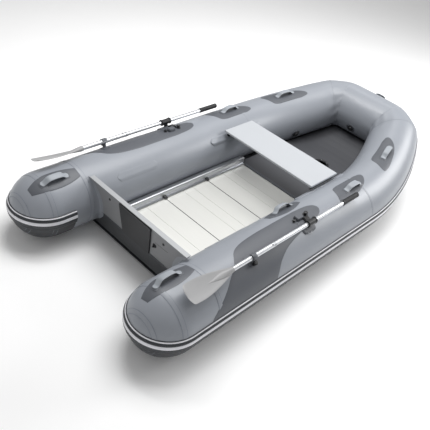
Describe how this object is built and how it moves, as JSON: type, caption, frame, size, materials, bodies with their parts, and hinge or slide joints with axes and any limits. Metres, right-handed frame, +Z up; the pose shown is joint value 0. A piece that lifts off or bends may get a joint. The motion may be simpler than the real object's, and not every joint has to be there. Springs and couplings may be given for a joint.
{
  "type": "inflatable dinghy",
  "caption": "Inflatable dinghy with grey air tubes, a slatted metal deck, a bench seat, a raked wooden transom, grab handles and oars stowed on the tubes.",
  "frame": {"origin": "centre of the footprint, on the ground under the tubes", "axes": "+X to the bow, +Y to port, +Z up"},
  "size_m": [3.1956, 1.574, 0.577],
  "materials": {
    "tube_fabric": "satin",
    "strake_rubber": "matte",
    "transom_ply": "satin",
    "cap_metal": "satin",
    "clamp_pad": "matte",
    "bottom_fabric": "matte",
    "holder_fabric": "satin",
    "plug_plastic": "satin",
    "eyelet_plastic": "matte",
    "deck_metal": "satin",
    "rail_metal": "satin",
    "bow_board": "satin",
    "hatch_plastic": "satin",
    "keel_fabric": "matte",
    "seat_metal": "satin",
    "bracket_plastic": "satin",
    "track_strip": "matte",
    "handle_rubber": "matte",
    "valve_plastic": "satin",
    "blade_plastic": "satin",
    "shaft_metal": "satin",
    "grip_plastic": "matte",
    "lock_plastic": "satin"
  },
  "bodies": {
    "hull": {"port_stern_cone": "tube_fabric", "starboard_stern_cone": "tube_fabric", "port_side_tube": "tube_fabric", "starboard_side_tube": "tube_fabric", "port_bow_tube": "tube_fabric", "starboard_bow_tube": "tube_fabric", "bow_cross_tube": "tube_fabric", "port_rub_strake": "strake_rubber", "starboard_rub_strake": "strake_rubber", "transom_board": "transom_ply", "transom_cap": "cap_metal", "transom_outer_pad": "clamp_pad", "transom_inner_pad": "clamp_pad", "transom_skirt": "bottom_fabric", "hull_bottom": "bottom_fabric", "port_transom_bracket": "holder_fabric", "starboard_transom_bracket": "holder_fabric", "port_tow_eyelet": "eyelet_plastic", "starboard_tow_eyelet": "eyelet_plastic", "floor_panel_aft": "deck_metal", "floor_panel_mid": "deck_metal", "floor_panel_fwd": "deck_metal", "floor_cross_rail": "rail_metal", "port_stringer": "rail_metal", "starboard_stringer": "rail_metal", "bow_floor_board": "bow_board", "access_ring": "hatch_plastic", "keel_valve": "hatch_plastic", "inflatable_keel": "keel_fabric", "port_seat_track": "track_strip", "starboard_seat_track": "track_strip", "port_handle_stern": "handle_rubber", "starboard_handle_stern": "handle_rubber", "port_handle_mid": "handle_rubber", "starboard_handle_mid": "handle_rubber", "port_handle_bow": "handle_rubber", "starboard_handle_bow": "handle_rubber", "starboard_handle_inner": "handle_rubber", "bow_handle": "handle_rubber", "port_oarlock_base": "lock_plastic", "starboard_oarlock_base": "lock_plastic", "port_oar_clip": "lock_plastic", "starboard_oar_clip": "lock_plastic"},
    "seat": {"seat_board": "seat_metal", "port_seat_bracket": "bracket_plastic", "starboard_seat_bracket": "bracket_plastic"},
    "port_oar": {"port_oar_blade": "blade_plastic", "port_oar_lower_shaft": "shaft_metal", "port_oar_upper_shaft": "shaft_metal", "port_oar_grip": "grip_plastic", "port_oar_collar": "lock_plastic"},
    "starboard_oar": {"starboard_oar_blade": "blade_plastic", "starboard_oar_lower_shaft": "shaft_metal", "starboard_oar_upper_shaft": "shaft_metal", "starboard_oar_grip": "grip_plastic", "starboard_oar_collar": "lock_plastic"},
    "drain_plug": {"drain_plug": "plug_plastic"},
    "port_valve": {"port_valve_cap": "valve_plastic"},
    "starboard_valve": {"starboard_valve_cap": "valve_plastic"},
    "bow_valve": {"bow_valve_cap": "valve_plastic"}
  },
  "joints": [
    {"name": "seat_slide", "type": "slide", "parent": "hull", "child": "seat", "axis": [1, 0, 0], "range_m": [-0.1, 0.08]},
    {"name": "port_oar_swing", "type": "hinge", "parent": "hull", "child": "port_oar", "pos_m": [-0.3212, 0.65965, 0.41962], "axis": [0, -0.4115, -0.9114], "range_deg": [0, 110]},
    {"name": "starboard_oar_swing", "type": "hinge", "parent": "hull", "child": "starboard_oar", "pos_m": [-0.3212, -0.65965, 0.41962], "axis": [0, -0.4115, 0.9114], "range_deg": [0, 110]},
    {"name": "drain_plug_pull", "type": "slide", "parent": "hull", "child": "drain_plug", "axis": [-0.9897, 0, -0.1435], "range_m": [0, 0.03]},
    {"name": "port_valve_turn", "type": "hinge", "parent": "hull", "child": "port_valve", "pos_m": [0.8643, 0.29567, 0.18754], "axis": [-0.2004, -0.9257, -0.3209], "range_deg": [0, 120]},
    {"name": "starboard_valve_turn", "type": "hinge", "parent": "hull", "child": "starboard_valve", "pos_m": [0.8643, -0.29567, 0.18754], "axis": [-0.2004, 0.9257, -0.3209], "range_deg": [0, 120]},
    {"name": "bow_valve_turn", "type": "hinge", "parent": "hull", "child": "bow_valve", "pos_m": [1.2217, 0.01, 0.29398], "axis": [-0.8829, 0, -0.4695], "range_deg": [0, 120]}
  ]
}
